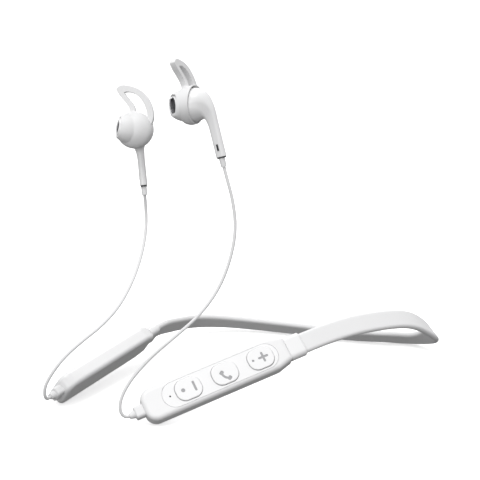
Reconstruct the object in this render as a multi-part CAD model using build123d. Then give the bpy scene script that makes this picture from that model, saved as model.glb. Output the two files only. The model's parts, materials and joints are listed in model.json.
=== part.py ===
"""Neckband earphones: a silicone neck strap, a control pod, a battery pod and two corded earbuds.

Millimetres. +Z is up, +Y runs from the pods to the back of the neck, +X is the wearer's left.
The origin is the centre of the underside of the object as it lies on a table.
The strap is bent and its left arm is humped, as a relaxed neckband lies.
"""

from build123d import *
from math import cos, pi, radians, sin, tan
import os

BOTTOM_ALIGN = (Align.CENTER, Align.CENTER, Align.MIN)

# ---------------------------------------------------------------- driving dimensions
POD_LENGTH = 72.5
POD_WIDTH = 16.0
POD_THICKNESS = 8.0
POD_NECK_WIDTH = 11.8
POD_WALL = 1.2
POD_EDGE_RADIUS = 2.0
POD_TIP_RADIUS = 5.2
SEAM_HEIGHT = 0.8

PANEL_LENGTH = 57.5
PANEL_WIDTH = 12.2
PANEL_THICKNESS = 0.6
PANEL_CENTRE = 38.2
PANEL_GAP = 0.15
BUTTON_LENGTH = 12.4
BUTTON_WIDTH = 10.2
BUTTON_RADIUS = 4.3
BUTTON_CLEARANCE = 0.2
BUTTON_TOP = 4.7
BUTTON_PLACES = {"volume_down": 22.0, "call": 40.2, "volume_up": 58.4}
ICON_DEPTH = 0.2
MICROPHONE_PLACE = 12.9

BOARD_THICKNESS = 0.8
BOARD_TOP = -0.8
SOCKET_PLACE = 10.6
SOCKET_WIDTH = 7.4
SOCKET_HEIGHT = 2.5
SOCKET_DEPTH = 5.4

STRAP_WIDTH = 10.0
STRAP_THICKNESS = 3.0
STRAP_CORNER = 1.4
STRAP_SECTIONS = 15
SPLIT_GAP = 0.1
WIRE_SIZE = (2.4, 0.8)
WIRE_OFFSET = 2.0
CHANNEL_MARGIN = 0.3
COLLAR_LENGTH = 8.0
COLLAR_WIDTH = 11.6
COLLAR_THICKNESS = 5.2
COLLAR_SOCKET = 3.0

BUSHING_BLOCK = 4.2
BUSHING_NOZZLE = 2.6
CORD_RADIUS = 0.75

CAPSULE_RADIUS = 8.0
CAPSULE_FRONT = 5.6
CAPSULE_BACK = -1.5
SLEEVE_GAP = 0.2
SLEEVE_WALL = 0.6
NOSE_ANGLE = 53.0
NOSE_LIFT = 12.5
NOSE_REACH = 9.3
NOSE_TRIM = 0.3
GRILLE_WIDTH = 4.6
GRILLE_HEIGHT = 7.6
STEM_OFFSET = -9.4
SECTIONS_PER_STATION = 3
TOUCH_GAP = 0.02
VENT_HEIGHT = -21.6
CAVITY_BACK = -5.5
CAVITY_DEPTH = 5.0
CAVITY_RADII = (4.2, 6.6)
STEM_BOTTOM = -26.0
STEM_HALF_WIDTH = 1.65
STEM_HALF_DEPTH = 2.45
STEM_RING = 0.6
RELIEF_RADIUS = 1.4
RELIEF_LENGTH = 4.0

# ---------------------------------------------------------------- how the pieces lie
CONTROL_TIP = Vector(35.3, -75.5, 6.3)
CONTROL_DIRECTION = Vector(0.240, 0.936, 0.273)
CONTROL_TILT = 43.0
BATTERY_TIP = Vector(-5.3, -96.1, 7.6)
BATTERY_DIRECTION = Vector(-0.421, 0.905, 0.069)
BATTERY_TILT = 38.0
STRAP_TILT = 46.0

STRAP_ROUTE = [
    (54.4, 10.8, 29.6),
    (54.6, 29.8, 31.0),
    (54.2, 49.8, 30.0),
    (52.2, 69.8, 26.0),
    (47.7, 86.8, 17.0),
    (39.2, 97.4, 9.0),
    (28.7, 98.3, 4.8),
    (17.7, 89.3, 4.2),
    (3.2, 75.8, 4.1),
    (-18.3, 61.3, 4.1),
    (-39.8, 45.3, 4.6),
    (-53.3, 28.3, 6.2),
    (-54.8, 9.8, 8.8),
    (-48.0, -7.2, 11.6),
]

LEFT_BUD_CENTRE = Vector(12.5, -33.7, 137.3)
LEFT_BUD_FACING = (210.5, -17.0, 4.3)
RIGHT_BUD_CENTRE = Vector(-23.0, -41.8, 122.3)
RIGHT_BUD_FACING = (316.8, 15.0, 7.7)

LEFT_CORD_ROUTE = [
    (33.6, -83.4, 4.4),
    (33.0, -85.2, 5.7),
    (32.4, -85.9, 7.9),
    (32.1, -85.7, 10.7),
    (32.0, -84.5, 14.2),
    (32.3, -82.0, 18.5),
    (33.2, -77.7, 23.9),
    (34.7, -70.4, 30.8),
    (36.7, -59.1, 38.3),
    (38.4, -47.3, 46.0),
    (39.1, -36.3, 57.4),
    (38.2, -29.0, 71.0),
    (36.6, -25.2, 83.8),
    (33.7, -25.0, 96.3),
    (30.9, -26.1, 105.2),
]
RIGHT_CORD_ROUTE = [
    (-1.3, -104.1, 6.9),
    (-0.4, -105.8, 8.1),
    (0.0, -106.4, 10.8),
    (0.3, -106.0, 14.2),
    (0.9, -103.9, 18.2),
    (1.7, -100.4, 22.9),
    (2.4, -95.3, 27.8),
    (2.8, -87.0, 33.0),
    (2.5, -77.2, 37.8),
    (-0.1, -66.4, 44.1),
    (-6.5, -54.7, 52.8),
    (-13.9, -44.6, 63.3),
    (-19.4, -38.5, 73.8),
    (-21.9, -36.8, 83.0),
]

nodes = {}


# ---------------------------------------------------------------- helpers
def outward_plane(origin, direction, tilt, reverse=False):
    """A plane at origin: z along direction, x across the band, y out of its outer face."""
    along = direction.normalized()
    side = along.cross(Vector(0, 0, 1)).normalized()
    if reverse:
        side = side * -1
    lift = side.cross(along) if not reverse else along.cross(side)
    outer = side * cos(radians(tilt)) + lift * sin(radians(tilt))
    return Plane(origin=origin, x_dir=outer.cross(along), z_dir=along)


def pod_location(tip, direction, tilt, reverse=False):
    """Where a pod goes: x from its tip to the strap, z out of its outer face."""
    along = direction.normalized()
    section = outward_plane(tip, along, tilt, reverse)
    outer = section.z_dir.cross(section.x_dir)
    return Plane(origin=tip, x_dir=along, z_dir=outer).location


def add(name, shape, place=None):
    """Keep one piece under its node name."""
    nodes[name] = shape if place is None else shape.moved(place)


def slab(sketch, low, high):
    """A sketch on the XY plane as a plate between two heights."""
    return extrude(Plane.XY.offset(low) * sketch, high - low)


def cylinder_between(radius, low, high):
    return slab(Circle(radius), low, high)


# ---------------------------------------------------------------- pods
def pod_outline(inset=0.0):
    """The pod's plan: rounded at the tip and tapered to the strap collar."""
    half = POD_WIDTH / 2 - inset
    neck = POD_NECK_WIDTH / 2 - inset
    end = POD_LENGTH - inset
    shoulder = POD_LENGTH - 7.5
    corners = [(inset, -half), (shoulder, -half), (end, -neck), (end, neck), (shoulder, half), (inset, half)]
    outline = Polygon(*corners, align=None)
    tip = outline.vertices().group_by(Axis.X)[0]
    outline = fillet(tip, POD_TIP_RADIUS - inset)
    shoulders = [v for v in outline.vertices() if abs(v.X - shoulder) < 0.01]
    outline = fillet(shoulders, 6.0)
    neck_corners = outline.vertices().group_by(Axis.X)[-1]
    return fillet(neck_corners, 1.6 - inset / 2)


def pod_half(low, high, outer_side):
    """One half of a pod's casing, hollow and open at the seam."""
    half = slab(pod_outline(), low, high)
    rim = half.edges().group_by(Axis.Z)[-1 if outer_side else 0]
    half = fillet(rim, POD_EDGE_RADIUS)
    if outer_side:
        return half - slab(pod_outline(POD_WALL), low, high - POD_WALL)
    return half - slab(pod_outline(POD_WALL), low + POD_WALL, high)


def button_hole():
    grow = 2 * BUTTON_CLEARANCE
    return RectangleRounded(BUTTON_LENGTH + grow, BUTTON_WIDTH + grow, BUTTON_RADIUS + BUTTON_CLEARANCE)


def button_icon(name):
    """The mark sunk into a button's face: a bar and dot, a handset or a cross."""
    bar = RectangleRounded(1.1, 5.0, 0.5)
    if name == "volume_down":
        return Pos(2.9, 0) * bar + Pos(-2.7, 0) * Circle(0.95)
    if name == "volume_up":
        return Pos(1.2, 0) * (bar + Rot(0, 0, 90) * bar) + Pos(-3.9, 0) * Circle(0.6)
    grip = Circle(3.6) - Circle(2.5)
    wedge = Polygon((0, 0), (-5, 5), (-5, -5), align=None)
    ear = Pos(-2.2, 2.2) * RectangleRounded(2.2, 1.7, 0.6)
    mouth = Pos(-2.2, -2.2) * RectangleRounded(2.2, 1.7, 0.6)
    return Pos(1.6, 0) * Rot(0, 0, 35) * ((grip & wedge) + ear + mouth)


def make_button(name, x):
    """A key with a retaining flange and a foot that meets its switch plunger."""
    cap = slab(RectangleRounded(BUTTON_LENGTH, BUTTON_WIDTH, BUTTON_RADIUS), 2.1, BUTTON_TOP)
    cap = fillet(cap.edges().group_by(Axis.Z)[-1], 0.45)
    cap = cap - slab(button_icon(name), BUTTON_TOP - ICON_DEPTH, BUTTON_TOP + 1)
    flange = slab(RectangleRounded(BUTTON_LENGTH + 1.4, BUTTON_WIDTH + 1.4, BUTTON_RADIUS + 0.5), 2.1, 2.65)
    foot = cylinder_between(1.2, 1.0, 2.2)
    return Pos(x, 0, 0) * (cap + flange + foot)


def make_control_pod(place):
    top = POD_THICKNESS / 2
    panel_sketch = Pos(PANEL_CENTRE, 0) * SlotOverall(PANEL_LENGTH, PANEL_WIDTH)
    recess_sketch = Pos(PANEL_CENTRE, 0) * SlotOverall(PANEL_LENGTH + 2 * PANEL_GAP, PANEL_WIDTH + 2 * PANEL_GAP)
    outer = pod_half(SEAM_HEIGHT, top, True) - slab(recess_sketch, top - PANEL_THICKNESS, top + 1)
    panel = slab(panel_sketch, top - PANEL_THICKNESS, top)
    inner = pod_half(-top, SEAM_HEIGHT, False)
    switches = []
    for name, x in BUTTON_PLACES.items():
        hole = slab(Pos(x, 0) * button_hole(), 2.0, top + 1)
        outer = outer - hole
        panel = panel - hole
        add(name + "_button", make_button(name, x), place)
        add(name + "_plunger", Pos(x, 0, 0) * cylinder_between(0.8, 0.35, 1.0), place)
        body = slab(Rectangle(3.6, 3.6), BOARD_TOP, 0.5) - cylinder_between(1.0, -0.2, 1.0)
        switches.append(Pos(x, 0, 0) * body)
    microphone_hole = Pos(MICROPHONE_PLACE, 0, 0) * cylinder_between(0.45, 1.0, top + 1)
    outer = outer - microphone_hole
    panel = panel - microphone_hole

    middle = BOARD_TOP + SOCKET_HEIGHT / 2
    socket_place = Pos(SOCKET_PLACE, POD_WIDTH / 2 - SOCKET_DEPTH / 2 - 0.1, middle)
    window = Pos(SOCKET_PLACE, POD_WIDTH / 2, middle) * Box(SOCKET_WIDTH + 0.3, 3.2, SOCKET_HEIGHT + 0.3)
    outer = outer - window
    inner = inner - window
    socket = Box(SOCKET_WIDTH, SOCKET_DEPTH, SOCKET_HEIGHT)
    socket = fillet(socket.edges().filter_by(Axis.Y), 0.6)
    socket = socket - Pos(0, 0.5, 0) * Box(SOCKET_WIDTH - 0.6, SOCKET_DEPTH, SOCKET_HEIGHT - 0.6)
    tongue = Pos(0, -0.4, 0) * Box(SOCKET_WIDTH - 2.6, SOCKET_DEPTH - 1.8, 0.6)

    board_low = BOARD_TOP - BOARD_THICKNESS
    for x in (9.0, 31.0, 49.0, 63.0):
        inner = inner + Pos(x, -4.5, 0) * cylinder_between(1.1, -top + POD_WALL, board_low)
    board = slab(Pos(36.4, 0) * RectangleRounded(60.0, 12.0, 3.0), board_low, BOARD_TOP)

    add("control_outer_shell", outer, place)
    add("control_panel", panel, place)
    add("control_inner_shell", inner, place)
    add("switch_bodies", Compound(children=switches), place)
    add("main_board", board, place)
    add("bluetooth_module", slab(Pos(31.1, 0) * Rectangle(9.6, 8.0), BOARD_TOP, 0.7), place)
    add("power_chip", slab(Pos(49.3, 0) * Rectangle(5.0, 5.0), BOARD_TOP, 0.1), place)
    add("microphone", slab(Pos(MICROPHONE_PLACE, -0.3) * Rectangle(3.4, 2.4), BOARD_TOP, 0.3), place)
    add("charging_socket", socket_place * socket, place)
    add("charging_tongue", socket_place * tongue, place)


def make_battery_pod(place):
    top = POD_THICKNESS / 2
    inner = pod_half(-top, SEAM_HEIGHT, False)
    for y in (-4.0, 4.0):
        inner = inner + Pos(63.0, y, 0) * cylinder_between(1.0, -top + POD_WALL, -1.2)
    cell = slab(RectangleRounded(48.0, 12.0, 1.2), -top + POD_WALL, 1.7)
    cell = fillet(cell.edges().filter_by(Axis.X), 1.2)
    tabs = Pos(57.8, 3, 0) * Box(3.4, 2.0, 0.3) + Pos(57.8, -3, 0) * Box(3.4, 2.0, 0.3)
    circuit = slab(Pos(62.3, 0) * Rectangle(6.0, 11.0), -1.2, -0.4) + Pos(0, 0, -0.3) * tabs
    add("battery_outer_shell", pod_half(SEAM_HEIGHT, top, True), place)
    add("battery_inner_shell", inner, place)
    add("battery_cell", Pos(31.5, 0, 0) * cell, place)
    add("protection_board", circuit, place)


def make_pod_ends(side, place):
    """The strap collar and the soft bushing that the earbud's cord leaves by."""
    collar = RectangleRounded(COLLAR_THICKNESS, COLLAR_WIDTH, 2.2)
    collar = Pos(POD_LENGTH, 0, 0) * Rot(0, 90, 0) * extrude(collar, COLLAR_LENGTH)
    collar = fillet(collar.edges().group_by(Axis.X)[-1], 0.8)
    pocket = RectangleRounded(STRAP_THICKNESS + 0.4, STRAP_WIDTH + 0.4, STRAP_CORNER + 0.2)
    pocket = Pos(POD_LENGTH + COLLAR_LENGTH - COLLAR_SOCKET, 0, 0) * Rot(0, 90, 0) * extrude(pocket, COLLAR_SOCKET)
    add(side + "_collar", collar - pocket, place)

    block = Rot(0, -90, 0) * extrude(RectangleRounded(4.8, 6.0, 1.4), BUSHING_BLOCK)
    block = fillet(block.edges().group_by(Axis.X)[0], 0.7)
    neck = Pos(-BUSHING_BLOCK, 0, 0) * Rot(0, -90, 0) * Cone(2.0, 1.35, BUSHING_NOZZLE, align=BOTTOM_ALIGN)
    add(side + "_cord_bushing", block + neck, place)


# ---------------------------------------------------------------- strap
def strap_curve(start, start_direction, end, end_direction):
    points = [Vector(*p) for p in STRAP_ROUTE]
    return Spline([start] + points + [end], tangents=[start_direction, end_direction])


def strap_tilt(fraction):
    """The band's lean: equal to each pod's at the ends, a little more at the back."""
    if fraction < 0.5:
        return CONTROL_TILT + (STRAP_TILT - CONTROL_TILT) * fraction / 0.5
    return STRAP_TILT + (BATTERY_TILT - STRAP_TILT) * (fraction - 0.5) / 0.5


def strap_planes(curve, start, end):
    planes = []
    for step in range(STRAP_SECTIONS):
        fraction = start + (end - start) * step / (STRAP_SECTIONS - 1)
        planes.append(outward_plane(curve @ fraction, curve % fraction, strap_tilt(fraction)))
    return planes


def loft_along(planes, sketch):
    return loft([plane * sketch for plane in planes])


def make_strap_half(side, curve, start, end):
    """One half of the silicone strap with its flat steel memory wire and its flat cable."""
    planes = strap_planes(curve, start, end)
    width, thickness = WIRE_SIZE
    wire = RectangleRounded(width, thickness, 0.3)
    channel = RectangleRounded(width + CHANNEL_MARGIN, thickness + CHANNEL_MARGIN, 0.3)
    strap = loft_along(planes, RectangleRounded(STRAP_WIDTH, STRAP_THICKNESS, STRAP_CORNER))
    for offset in (-WIRE_OFFSET, WIRE_OFFSET):
        strap = strap - loft_along(planes, Pos(offset, 0) * channel)
    add(side + "_strap", strap)
    add(side + "_memory_wire", loft_along(planes, Pos(WIRE_OFFSET, 0) * wire))
    add(side + "_strap_cable", loft_along(planes, Pos(-WIRE_OFFSET, 0) * wire))


# ---------------------------------------------------------------- earbuds
def bud_plane(centre, facing):
    """A bud's frame: z into the ear, y up along the stem."""
    azimuth, elevation, roll = facing
    into_ear = Vector(cos(radians(azimuth)), sin(radians(azimuth)), tan(radians(elevation))).normalized()
    level = Vector(0, 0, 1).cross(into_ear).normalized()
    upright = into_ear.cross(level)
    across = level * cos(radians(roll)) + upright * sin(radians(roll))
    return Plane(origin=centre, x_dir=across, z_dir=into_ear)


def capsule(radius, front, back):
    """A turned, domed capsule about z."""
    dome = Spline((radius, 0), (radius * 0.72, front * 0.7), (0, front), tangents=[(0, 1), (-1, 0)])
    profile = make_face(dome + Polyline((0, front), (0, back), (radius, back), (radius, 0)))
    return revolve(Plane.XZ * profile, Axis.Z)


def nose_plane(distance):
    turn = radians(NOSE_ANGLE)
    lift = radians(NOSE_LIFT)
    axis = Vector(sin(turn) * cos(lift), sin(lift), cos(turn) * cos(lift))
    return Plane(origin=axis * distance, x_dir=Vector(cos(turn), 0, -sin(turn)), z_dir=axis)


def nose(grow, reach):
    """The oval nose that carries the grille."""
    root = nose_plane(1.0) * Ellipse(5.0 + grow, 6.4 + grow)
    middle = nose_plane(6.0) * Ellipse(4.3 + grow, 5.8 + grow)
    mouth = nose_plane(reach) * Ellipse(GRILLE_WIDTH / 2 + 0.5 + grow, GRILLE_HEIGHT / 2 + 0.5 + grow)
    return loft([root, middle, mouth])


def nose_oval(width, height, start, end):
    return extrude(nose_plane(start) * Ellipse(width / 2, height / 2), end - start)


def core(grow):
    """The capsule and nose under the sleeve, kept inside one cylinder so that the sleeve slides off."""
    radius = CAPSULE_RADIUS + grow
    body = capsule(radius, CAPSULE_FRONT + grow, CAPSULE_BACK)
    limit = cylinder_between(radius - NOSE_TRIM, CAPSULE_BACK, 14)
    return body + (nose(grow, NOSE_REACH) & limit)


def fin():
    """The looped ear fin, in the plane of the capsule's rim."""
    outer = Spline((-8.0, 1.0), (-9.9, 4.6), (-9.9, 9.0), (-8.2, 14.4), (-4.4, 18.9), (0.4, 21.2), (4.4, 21.8), (6.7, 20.4))
    front = Spline((6.7, 20.4), (4.4, 15.8), (1.8, 11.8), (1.2, 7.0))
    base = Polyline((1.2, 7.0), (-3.0, 3.0), (-8.0, 1.0))
    eye = Spline((-7.0, 5.6), (-6.9, 8.2), (-5.6, 12.6), (-2.6, 16.6), (0.6, 18.2), (3.0, 18.3))
    eye_front = Spline((3.0, 18.3), (1.4, 15.6), (-0.8, 12.2), (-1.6, 8.0))
    eye_base = Polyline((-1.6, 8.0), (-3.0, 6.0), (-7.0, 5.6))
    outline = make_face(outer + front + base) - make_face(eye + eye_front + eye_base)
    return slab(outline, -1.2, 1.6)


def make_sleeve():
    gap = CAPSULE_RADIUS + SLEEVE_GAP
    outside = capsule(gap + SLEEVE_WALL, CAPSULE_FRONT + SLEEVE_GAP + SLEEVE_WALL, -5.2)
    limit = cylinder_between(gap + SLEEVE_WALL, -5.2, 14)
    outside = outside + (nose(SLEEVE_GAP + SLEEVE_WALL, NOSE_REACH - 0.5) & limit) + fin()
    rear_cut = Pos(0, 0, -3.2) * Rot(-11.5, 0, 0) * Box(40, 60, 20, align=(Align.CENTER, Align.CENTER, Align.MAX))
    inside = cylinder_between(gap, -8.0, 0.0) + core(SLEEVE_GAP)
    opening = nose_oval(GRILLE_WIDTH + 2.2, GRILLE_HEIGHT + 2.2, 4.0, 14.0)
    return outside - rear_cut - inside - opening


# The rear housing bends down into the stem: stations of its upper edge, lower edge and half width.
REAR_UPPER = [(7.9, -1.5), (7.3, -4.8), (5.4, -8.1), (2.0, -10.4), (-3.5, -11.7), (-11.0, -11.85), (-18.5, -11.85)]
REAR_LOWER = [(-7.9, -1.5), (-7.8, -3.0), (-7.4, -4.8), (-7.8, -6.3), (-10.5, -6.9), (-14.0, -6.95), (-20.0, -6.95)]
REAR_HALF_WIDTH = [7.9, 7.2, 5.9, 3.9, 2.2, STEM_HALF_WIDTH, STEM_HALF_WIDTH, STEM_HALF_WIDTH]


def between(values, place):
    """The smooth value at a fractional station of a list."""
    index = min(int(place), len(values) - 2)
    t = place - index
    before = values[max(index - 1, 0)]
    first = values[index]
    second = values[index + 1]
    after = values[min(index + 2, len(values) - 1)]
    slope = (second - before) * (0.5 * t)
    bend = (before * 2 - first * 5 + second * 4 - after) * (0.5 * t ** 2)
    return first + slope + bend + ((first - second) * 3 + after - before) * (0.5 * t ** 3)


def rear_body():
    """A loft through rounded sections that span the housing's upper and lower edges."""
    upper_edge = [Vector(0, y, z) for y, z in REAR_UPPER + [(STEM_BOTTOM, -11.85)]]
    lower_edge = [Vector(0, y, z) for y, z in REAR_LOWER + [(STEM_BOTTOM, -6.95)]]
    sections = []
    for step in range(SECTIONS_PER_STATION * (len(upper_edge) - 1) + 1):
        place = step / SECTIONS_PER_STATION
        upper = between(upper_edge, place)
        lower = between(lower_edge, place)
        half_width = between(REAR_HALF_WIDTH, place)
        half_height = (upper - lower).length / 2
        plane = Plane(origin=(upper + lower) / 2, x_dir=(1, 0, 0), z_dir=Vector(1, 0, 0).cross(lower - upper))
        corner = 0.97 * min(half_width, half_height)
        sections.append(plane * RectangleRounded(2 * half_width, 2 * half_height, corner))
    return loft(sections)


def make_earbud(side, place, mirrored):
    driver_back = CAPSULE_BACK + 0.3
    hollow = capsule(CAPSULE_RADIUS - 1.0, CAPSULE_FRONT - 1.0, CAPSULE_BACK)
    channel = nose_oval(GRILLE_WIDTH - 1.0, GRILLE_HEIGHT - 1.6, 2.0, NOSE_REACH - 1.0)
    mouth = nose_oval(GRILLE_WIDTH, GRILLE_HEIGHT, NOSE_REACH - 1.2, NOSE_REACH + 3)
    front = core(0) - hollow - channel - mouth
    slide = cylinder_between(CAPSULE_RADIUS - NOSE_TRIM, CAPSULE_BACK, 14)
    mesh = nose_oval(GRILLE_WIDTH, GRILLE_HEIGHT, NOSE_REACH - 1.2, NOSE_REACH - 0.9) & slide
    rim = nose_oval(GRILLE_WIDTH, GRILLE_HEIGHT, NOSE_REACH - 0.9, NOSE_REACH - 0.3) & slide
    rim = rim - nose_oval(GRILLE_WIDTH - 0.8, GRILLE_HEIGHT - 0.8, NOSE_REACH - 2, NOSE_REACH + 1)
    driver = cylinder_between(6.2, driver_back, 1.6)
    diaphragm = Pos(0, 0, 1.9) * capsule(5.4, 0.9, -0.3)
    cavity = Pos(0, 0, CAVITY_BACK) * Cone(CAVITY_RADII[0], CAVITY_RADII[1], CAVITY_DEPTH, align=BOTTOM_ALIGN)
    rear = rear_body() - cavity
    band = Pos(0, VENT_HEIGHT, STEM_OFFSET) * Box(8, 3.0, 0.9)
    reach = (rear & band).bounding_box().max.X
    vent = Pos(reach + TOUCH_GAP + 0.07, VENT_HEIGHT, STEM_OFFSET) * Box(0.14, 3.0, 0.9)
    down = Plane(origin=(0, STEM_BOTTOM - TOUCH_GAP, STEM_OFFSET), x_dir=(1, 0, 0), z_dir=(0, -1, 0))
    ring = extrude(down * Ellipse(STEM_HALF_WIDTH - 0.15, STEM_HALF_DEPTH - 0.25), STEM_RING)
    relief_start = down.offset(STEM_RING)
    relief = relief_start * Cone(RELIEF_RADIUS, RELIEF_RADIUS - 0.1, RELIEF_LENGTH, align=BOTTOM_ALIGN)
    pieces = {
        "ear_sleeve": make_sleeve(),
        "front_shell": front,
        "grille_mesh": mesh,
        "grille_rim": rim,
        "driver": driver,
        "diaphragm": diaphragm,
        "rear_shell": rear,
        "vent_mesh": vent,
        "stem_ring": ring,
        "strain_relief": relief,
    }
    for name, shape in pieces.items():
        add(side + "_" + name, mirror(shape, Plane.YZ) if mirrored else shape, place)


# ---------------------------------------------------------------- cords
def cord_tube(name, points):
    """A cord as straight runs joined by tangent arcs, each as large as its two runs allow."""
    runs = [b - a for a, b in zip(points, points[1:])]
    radii = []
    for before, after in zip(runs, runs[1:]):
        turn = radians(before.get_angle(after))
        radii.append(0.45 * min(before.length, after.length) / tan(turn / 2))
    path = FilletPolyline(*points, radius=radii)
    tube = sweep(Plane(origin=points[0], z_dir=runs[0]) * Circle(CORD_RADIUS), path=path)
    section = pi * CORD_RADIUS ** 2
    print(name, "length", round(path.length, 1), "volume ratio", round(tube.volume / (section * path.length), 4))
    print(name, "radii", [round(r, 1) for r in radii], "runs", [round(r.length, 1) for r in runs])
    add(name, tube)



control_place = pod_location(CONTROL_TIP, CONTROL_DIRECTION, CONTROL_TILT)
battery_place = pod_location(BATTERY_TIP, BATTERY_DIRECTION, BATTERY_TILT, reverse=True)
make_control_pod(control_place)
make_battery_pod(battery_place)
make_pod_ends("left", control_place)
make_pod_ends("right", battery_place)

collar_depth = POD_LENGTH + COLLAR_LENGTH - COLLAR_SOCKET
control_along = CONTROL_DIRECTION.normalized()
battery_along = BATTERY_DIRECTION.normalized()
curve = strap_curve(
    CONTROL_TIP + control_along * collar_depth,
    control_along,
    BATTERY_TIP + battery_along * collar_depth,
    battery_along * -1,
)
gap_fraction = SPLIT_GAP / curve.length
make_strap_half("left", curve, 0.0, 0.5 - gap_fraction)
make_strap_half("right", curve, 0.5 + gap_fraction, 1.0)

left_bud = bud_plane(LEFT_BUD_CENTRE, LEFT_BUD_FACING)
right_bud = bud_plane(RIGHT_BUD_CENTRE, RIGHT_BUD_FACING)
make_earbud("left", left_bud.location, mirrored=False)
make_earbud("right", right_bud.location, mirrored=True)

bushing_reach = BUSHING_BLOCK + BUSHING_NOZZLE
cord_end = Vector(0, STEM_BOTTOM - TOUCH_GAP - STEM_RING - RELIEF_LENGTH, STEM_OFFSET)
for side, tip, along, route, bud in (
    ("left", CONTROL_TIP, control_along, LEFT_CORD_ROUTE, left_bud),
    ("right", BATTERY_TIP, battery_along, RIGHT_CORD_ROUTE, right_bud),
):
    points = [tip - along * bushing_reach] + [Vector(*p) for p in route] + [bud.from_local_coords(cord_end)]
    cord_tube(side + "_cord", points)

split = outward_plane(curve @ 0.5, curve % 0.5, strap_tilt(0.5))
split_outer = split.z_dir.cross(split.x_dir)
print("strap length", round(curve.length, 1))
print("flex pivot", (split.origin + split_outer * STRAP_THICKNESS / 2), "axis", split.x_dir)
print("button axis", Plane(control_place).z_dir)
for side, plane in (("left", left_bud), ("right", right_bud)):
    print(side, "bud axis", plane.z_dir, "stem", plane.y_dir)

os.makedirs("parts", exist_ok=True)
for name, shape in nodes.items():
    export_step(shape, "parts/" + name + ".step")
    box = shape.bounding_box()
    print(name, "solids", len(shape.solids()), "z", round(box.min.Z, 2), round(box.max.Z, 2))
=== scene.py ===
"""White neckband earphones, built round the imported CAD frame."""

import json

import bmesh
import bpy
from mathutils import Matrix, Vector


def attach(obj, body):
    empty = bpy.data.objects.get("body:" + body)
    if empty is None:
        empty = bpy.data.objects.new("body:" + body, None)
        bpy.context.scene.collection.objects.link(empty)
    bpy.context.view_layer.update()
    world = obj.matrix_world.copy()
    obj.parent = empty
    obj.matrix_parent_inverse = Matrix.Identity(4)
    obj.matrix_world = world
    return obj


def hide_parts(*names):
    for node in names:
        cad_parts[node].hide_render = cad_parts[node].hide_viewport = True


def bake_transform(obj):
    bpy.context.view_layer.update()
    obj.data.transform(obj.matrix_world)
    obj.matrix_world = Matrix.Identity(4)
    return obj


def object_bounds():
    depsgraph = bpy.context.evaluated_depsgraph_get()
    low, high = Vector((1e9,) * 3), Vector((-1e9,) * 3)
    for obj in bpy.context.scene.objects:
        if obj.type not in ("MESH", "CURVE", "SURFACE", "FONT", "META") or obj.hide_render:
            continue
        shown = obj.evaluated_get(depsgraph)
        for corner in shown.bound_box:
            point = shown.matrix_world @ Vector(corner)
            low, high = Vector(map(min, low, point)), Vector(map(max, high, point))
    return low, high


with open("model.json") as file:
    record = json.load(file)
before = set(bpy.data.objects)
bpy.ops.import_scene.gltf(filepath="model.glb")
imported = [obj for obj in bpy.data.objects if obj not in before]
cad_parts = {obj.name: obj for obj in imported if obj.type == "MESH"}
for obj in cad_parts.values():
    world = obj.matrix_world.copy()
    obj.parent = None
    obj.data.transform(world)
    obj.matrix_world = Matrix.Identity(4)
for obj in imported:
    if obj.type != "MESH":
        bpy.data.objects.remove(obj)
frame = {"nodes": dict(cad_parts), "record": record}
cad_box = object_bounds()
nodes = frame["nodes"]
scene = bpy.context.scene

ARMS = {"left": "control_arm", "right": "battery_arm"}


# ---------------------------------------------------------------- materials
MOTTLE_SCALE = 60.0
ROUGHNESS_SPREAD = 0.05
GRAIN_DEPTH = 0.00003
COAT_ROUGHNESS = 0.12
WEAVE_SCALE = 3200.0
WEAVE_DEPTH = 0.00008
WEAVE_DARK, WEAVE_PALE = 0.25, 2.2


def toned(colour, factor):
    """A colour made darker or paler, as RGBA."""
    return (*[min(1.0, c * factor) for c in colour], 1)


def plastic(name, colour, roughness, grain, bump, coat=0.0, mottled=0.02, metallic=0.0, sheen=0.0):
    """A moulded surface: a faint change of shade, a fine grain in the bump and the roughness."""
    made = bpy.data.materials.new(name)
    made.use_nodes = True
    tree = made.node_tree
    shader = tree.nodes["Principled BSDF"]
    place = tree.nodes.new("ShaderNodeTexCoord")
    large = tree.nodes.new("ShaderNodeTexNoise")
    large.inputs["Scale"].default_value = MOTTLE_SCALE
    large.inputs["Detail"].default_value = 3.0
    fine = tree.nodes.new("ShaderNodeTexNoise")
    fine.inputs["Scale"].default_value = grain
    fine.inputs["Detail"].default_value = 4.0
    shade = tree.nodes.new("ShaderNodeMixRGB")
    shade.inputs[1].default_value = toned(colour, 1 - mottled)
    shade.inputs[2].default_value = toned(colour, 1 + mottled)
    rough = tree.nodes.new("ShaderNodeMapRange")
    rough.inputs["To Min"].default_value = roughness - ROUGHNESS_SPREAD
    rough.inputs["To Max"].default_value = roughness + ROUGHNESS_SPREAD
    relief = tree.nodes.new("ShaderNodeBump")
    relief.inputs["Strength"].default_value = bump
    relief.inputs["Distance"].default_value = GRAIN_DEPTH
    link = tree.links.new
    for noise in (large, fine):
        link(place.outputs["Object"], noise.inputs["Vector"])
    link(large.outputs["Fac"], shade.inputs[0])
    link(shade.outputs[0], shader.inputs["Base Color"])
    link(fine.outputs["Fac"], rough.inputs["Value"])
    link(rough.outputs["Result"], shader.inputs["Roughness"])
    link(fine.outputs["Fac"], relief.inputs["Height"])
    link(relief.outputs["Normal"], shader.inputs["Normal"])
    shader.inputs["Metallic"].default_value = metallic
    shader.inputs["Coat Weight"].default_value = coat
    shader.inputs["Coat Roughness"].default_value = COAT_ROUGHNESS
    shader.inputs["Sheen Weight"].default_value = sheen
    return made


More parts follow.
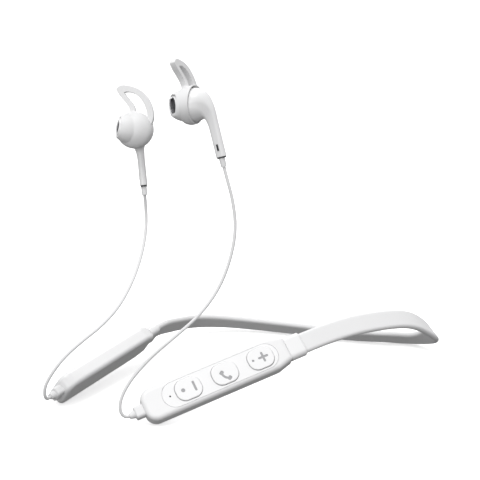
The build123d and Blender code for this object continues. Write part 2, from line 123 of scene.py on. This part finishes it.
def mesh_metal(name, colour):
    """Fine wire mesh: a regular grid of dark pits with paler ridges between them."""
    made = plastic(name, colour, 0.4, 4000.0, 0.2, metallic=0.8)
    tree = made.node_tree
    shader = tree.nodes["Principled BSDF"]
    place = tree.nodes.new("ShaderNodeTexCoord")
    checks = tree.nodes.new("ShaderNodeTexVoronoi")
    checks.inputs["Scale"].default_value = WEAVE_SCALE
    checks.inputs["Randomness"].default_value = 0.0
    shade = tree.nodes.new("ShaderNodeMixRGB")
    shade.inputs[1].default_value = toned(colour, WEAVE_DARK)
    shade.inputs[2].default_value = toned(colour, WEAVE_PALE)
    relief = tree.nodes.new("ShaderNodeBump")
    relief.inputs["Strength"].default_value = 0.8
    relief.inputs["Distance"].default_value = WEAVE_DEPTH
    link = tree.links.new
    link(place.outputs["Object"], checks.inputs["Vector"])
    link(checks.outputs["Distance"], shade.inputs[0])
    link(shade.outputs[0], shader.inputs["Base Color"])
    link(checks.outputs["Distance"], relief.inputs["Height"])
    link(relief.outputs["Normal"], shader.inputs["Normal"])
    return made


# One finish for each of the record's material slots.
FINISH = {
    "white_plastic": plastic("satin_white", (0.80, 0.80, 0.805), 0.33, 2600.0, 0.10, coat=0.25),
    "key_plastic": plastic("key_white", (0.83, 0.83, 0.835), 0.36, 3400.0, 0.14, coat=0.15),
    "soft_silicone": plastic("silicone_white", (0.77, 0.77, 0.775), 0.48, 1800.0, 0.16, sheen=0.08),
    "cord_jacket": plastic("cord_white", (0.74, 0.74, 0.745), 0.50, 2200.0, 0.14),
    "spring_steel": plastic("steel", (0.66, 0.66, 0.67), 0.28, 5200.0, 0.10, metallic=1.0),
    "dark_mesh": mesh_metal("dark_mesh", (0.045, 0.045, 0.05)),
    "circuit_board": plastic("board_green", (0.03, 0.18, 0.08), 0.45, 1500.0, 0.30, mottled=0.15),
    "dark_plastic": plastic("black", (0.03, 0.03, 0.033), 0.42, 2600.0, 0.12, mottled=0.10),
    "foil": plastic("foil", (0.70, 0.71, 0.73), 0.35, 900.0, 0.40, metallic=1.0),
    "film": plastic("film", (0.68, 0.62, 0.48), 0.38, 1500.0, 0.12, mottled=0.06),
}
for entry in frame["record"]["subparts"]:
    node = nodes[entry["node"]]
    node.data.materials.clear()
    node.data.materials.append(FINISH[entry["material_slot"]])


# The engraved icons on the keys get painted shade: the faces sunk below each key's top are coloured
# grey, standing in for the shade in the recesses.
KEY_NORMAL = Vector((0.662381, -0.361264, 0.656307))
POD_TIP = Vector((0.0353, -0.0755, 0.0063))
KEY_TOP = 0.0047
ICON_LOWEST, ICON_HIGHEST = KEY_TOP - 0.0003, KEY_TOP - 0.0001
FACES_OUT = 0.95
# Painted shade: a flat grey that stands in for the shade in the recessed icons.
ICON_RECESS_SHADE = plastic("icon_recess_shade", (0.36, 0.36, 0.37), 0.5, 2600.0, 0.12)
for key in ("volume_down", "call", "volume_up"):
    mesh = nodes[key + "_button"].data
    mesh.materials.append(ICON_RECESS_SHADE)
    for face in mesh.polygons:
        height = (face.center - POD_TIP).dot(KEY_NORMAL)
        if face.normal.dot(KEY_NORMAL) > FACES_OUT and ICON_LOWEST < height < ICON_HIGHEST:
            face.material_index = 1


# ---------------------------------------------------------------- smooth pieces made from the CAD shapes
EARBUD_VOXEL = 0.00016
STRAP_VOXEL = 0.00035
SLEEVE_ROUNDS, HOUSING_ROUNDS, STRAP_ROUNDS = 5, 6, 6


def relaxed_mesh(piece, voxel, rounds):
    """The piece's shape as a closed, evenly divided and relaxed mesh."""
    remesh = piece.modifiers.new("even", "REMESH")
    remesh.mode = "VOXEL"
    remesh.voxel_size = voxel
    relax = piece.modifiers.new("relax", "SMOOTH")
    relax.factor = 0.5
    relax.iterations = rounds
    evaluated = piece.evaluated_get(bpy.context.evaluated_depsgraph_get())
    return bpy.data.meshes.new_from_object(evaluated)


def smooth_copy(node_name, slot_name, rounds, name):
    """A relaxed copy of a CAD node, which it replaces."""
    made = bpy.data.objects.new(name, nodes[node_name].data.copy())
    scene.collection.objects.link(made)
    baked = relaxed_mesh(made, EARBUD_VOXEL, rounds)
    made.modifiers.clear()
    made.data = baked
    baked.materials.clear()
    baked.materials.append(FINISH[slot_name])
    baked.shade_smooth()
    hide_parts(node_name)
    return made


for side, arm in ARMS.items():
    sleeve = smooth_copy(side + "_ear_sleeve", "soft_silicone", SLEEVE_ROUNDS, side + "_soft_sleeve")
    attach(sleeve, side + "_sleeve")
    rear = smooth_copy(side + "_rear_shell", "white_plastic", HOUSING_ROUNDS, side + "_rear_housing")
    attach(rear, arm)


# ---------------------------------------------------------------- neck strap
# The strap is one moulding that bends at the back of the neck. Its middle is a piece of its own, fixed
# between the two arms.
FLEX_POINT = Vector((0.01061, 0.08358, 0.00533))
FLEX_ALONG = Vector((-0.732, -0.682, 0.0)).normalized()
MIDDLE_HALF = 0.014    # half the length of the middle piece
NEAR_FLEX = 0.035      # this near the hinge, faces are sorted by their place along the strap
LEFT_PAST_X = 0.006    # further away, a face is the left arm's if it is past the hinge in x by this


def joined_strap():
    """Both CAD halves as one relaxed mesh: the voxels close the slit between them."""
    shape = bmesh.new()
    for side in ARMS:
        shape.from_mesh(nodes[side + "_strap"].data)
    mesh = bpy.data.meshes.new("whole_strap")
    shape.to_mesh(mesh)
    shape.free()
    whole = bpy.data.objects.new("whole_strap", mesh)
    scene.collection.objects.link(whole)
    baked = relaxed_mesh(whole, STRAP_VOXEL, STRAP_ROUNDS)
    bpy.data.objects.remove(whole)
    return baked


def strap_part(face_centre):
    """Which part of the strap a face belongs to."""
    reach = (face_centre - FLEX_POINT).dot(FLEX_ALONG)
    near = (face_centre - FLEX_POINT).length < NEAR_FLEX
    if near and abs(reach) < MIDDLE_HALF:
        return "middle"
    if near:
        return "right" if reach > 0 else "left"
    return "left" if face_centre.x > FLEX_POINT.x + LEFT_PAST_X else "right"


def strap_piece(whole, part):
    """One part of the joined strap, as a piece of its own."""
    shape = bmesh.new()
    shape.from_mesh(whole)
    others = [face for face in shape.faces if strap_part(face.calc_center_median()) != part]
    bmesh.ops.delete(shape, geom=others, context="FACES")
    mesh = bpy.data.meshes.new(part + "_soft_strap")
    shape.to_mesh(mesh)
    shape.free()
    mesh.materials.clear()
    mesh.materials.append(FINISH["soft_silicone"])
    mesh.shade_smooth()
    made = bpy.data.objects.new(part + "_soft_strap", mesh)
    scene.collection.objects.link(made)
    return made


whole_strap = joined_strap()
for part, arm in ARMS.items():
    half = strap_piece(whole_strap, part)
    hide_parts(part + "_strap")
    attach(half, arm)
bend = strap_piece(whole_strap, "middle")
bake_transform(bend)


# ---------------------------------------------------------------- cords
# Each route is the CAD route's points, in millimetres.
CORD_DIAMETER = 0.0015
LEFT_ROUTE = [
    (33.6, -83.4, 4.4), (33.0, -85.2, 5.7), (32.4, -85.9, 7.9), (32.1, -85.7, 10.7),
    (32.0, -84.5, 14.2), (32.3, -82.0, 18.5), (33.2, -77.7, 23.9), (34.7, -70.4, 30.8),
    (36.7, -59.1, 38.3), (38.4, -47.3, 46.0), (39.1, -36.3, 57.4), (38.2, -29.0, 71.0),
    (36.6, -25.2, 83.8), (33.7, -25.0, 96.3), (30.9, -26.1, 105.2),
]
RIGHT_ROUTE = [
    (-1.3, -104.1, 6.9), (-0.4, -105.8, 8.1), (0.0, -106.4, 10.8), (0.3, -106.0, 14.2),
    (0.9, -103.9, 18.2), (1.7, -100.4, 22.9), (2.4, -95.3, 27.8), (2.8, -87.0, 33.0),
    (2.5, -77.2, 37.8), (-0.1, -66.4, 44.1), (-6.5, -54.7, 52.8), (-13.9, -44.6, 63.3),
    (-19.4, -38.5, 73.8), (-21.9, -36.8, 83.0),
]
# Where each cord leaves its pod, its route, where it enters its earbud, and its length in metres.
CORDS = {
    "left": ((33.67, -81.84, 4.45), LEFT_ROUTE, (29.10, -26.59, 110.87), 0.1352),
    "right": ((-2.44, -102.25, 7.13), RIGHT_ROUTE, (-21.09, -37.97, 90.58), 0.1241),
}


def make_cord(side):
    """A cord as one smooth NURBS line through its route."""
    arm = ARMS[side]
    start, route, end, length = CORDS[side]
    points = [tuple(v / 1000 for v in p) for p in [start, *route, end]]
    curve = bpy.data.curves.new(side + "_cord_line", "CURVE")
    curve.dimensions = "3D"
    curve.bevel_depth = CORD_DIAMETER / 2
    curve.bevel_resolution = 6
    curve.resolution_u = 16
    curve.use_fill_caps = True
    spline = curve.splines.new("NURBS")
    spline.points.add(len(points) - 1)
    for point, place in zip(spline.points, points):
        point.co = (*place, 1)
    spline.order_u = 3
    spline.use_endpoint_u = True
    curve.materials.append(FINISH["cord_jacket"])
    cord = bpy.data.objects.new(side + "_thin_cord", curve)
    scene.collection.objects.link(cord)
    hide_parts(side + "_cord")
    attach(cord, arm)


make_cord("left")
make_cord("right")


# ---------------------------------------------------------------- stage
FLOOR_SIZE = 4.0
FLOOR_GLOW = 0.45
MIDDLE = (0.0, 0.0, 0.06)
# Each light's name, place, target, size across and power.
LIGHTS = [
    ("key", (0.25, -0.35, 1.2), MIDDLE, 0.5, 4.3),
    ("fill", (0.45, -0.75, 0.35), (0.0, -0.02, 0.10), 0.5, 1.6),
    ("rim", (-0.5, 0.6, 0.9), MIDDLE, 0.6, 2.0),
]
SKY_FROM, SKY_TO = (-0.25, 0.30), (0.16, 0.95)
SKY_STRENGTH = 0.95
LENS, SENSOR = 97.5, 36.0
CAMERA_PLACE = (0.5029, -0.3618, 0.2213)
CAMERA_TARGET = (0.0162, -0.0082, 0.0713)


def studio_floor():
    """A pale paper floor that does not light or mirror in the object."""
    mesh = bpy.data.meshes.new("floor")
    shape = bmesh.new()
    bmesh.ops.create_grid(shape, x_segments=2, y_segments=2, size=FLOOR_SIZE)
    shape.to_mesh(mesh)
    shape.free()
    floor = bpy.data.objects.new("floor", mesh)
    scene.collection.objects.link(floor)
    floor.location.z = cad_box[0].z
    white = bpy.data.materials.new("paper")
    white.use_nodes = True
    shader = white.node_tree.nodes["Principled BSDF"]
    shader.inputs["Base Color"].default_value = (0.93, 0.93, 0.93, 1)
    shader.inputs["Roughness"].default_value = 0.75
    shader.inputs["Emission Color"].default_value = (1, 1, 1, 1)
    shader.inputs["Emission Strength"].default_value = FLOOR_GLOW
    mesh.materials.append(white)
    floor.visible_diffuse = False
    floor.visible_glossy = False


def aim_at(thing, place, target):
    """Put a light or camera at a place, pointing at a target."""
    thing.location = place
    line = Vector(target) - thing.location
    thing.rotation_euler = line.to_track_quat("-Z", "Y").to_euler()


def soft_light(name, place, target, size, power):
    """A round area light."""
    data = bpy.data.lights.new(name, "AREA")
    data.shape = "DISK"
    data.size = size
    data.energy = power
    lamp = bpy.data.objects.new(name, data)
    scene.collection.objects.link(lamp)
    aim_at(lamp, place, target)


def studio_sky():
    """Plain surroundings, darker below and paler above."""
    world = bpy.data.worlds.new("studio")
    world.use_nodes = True
    tree = world.node_tree
    place = tree.nodes.new("ShaderNodeTexCoord")
    split = tree.nodes.new("ShaderNodeSeparateXYZ")
    sky = tree.nodes.new("ShaderNodeMapRange")
    sky.inputs["From Min"].default_value = SKY_FROM[0]
    sky.inputs["From Max"].default_value = SKY_FROM[1]
    sky.inputs["To Min"].default_value = SKY_TO[0]
    sky.inputs["To Max"].default_value = SKY_TO[1]
    background = tree.nodes["Background"]
    tree.links.new(place.outputs["Generated"], split.inputs[0])
    tree.links.new(split.outputs["Z"], sky.inputs["Value"])
    tree.links.new(sky.outputs["Result"], background.inputs["Color"])
    background.inputs["Strength"].default_value = SKY_STRENGTH
    scene.world = world


def photo_camera():
    """The camera at the photograph's viewing angle."""
    data = bpy.data.cameras.new("camera")
    data.lens = LENS
    data.sensor_width = SENSOR
    camera = bpy.data.objects.new("camera", data)
    scene.collection.objects.link(camera)
    aim_at(camera, CAMERA_PLACE, CAMERA_TARGET)
    scene.camera = camera


studio_floor()
for light in LIGHTS:
    soft_light(*light)
studio_sky()
photo_camera()
scene.view_settings.view_transform = "Standard"
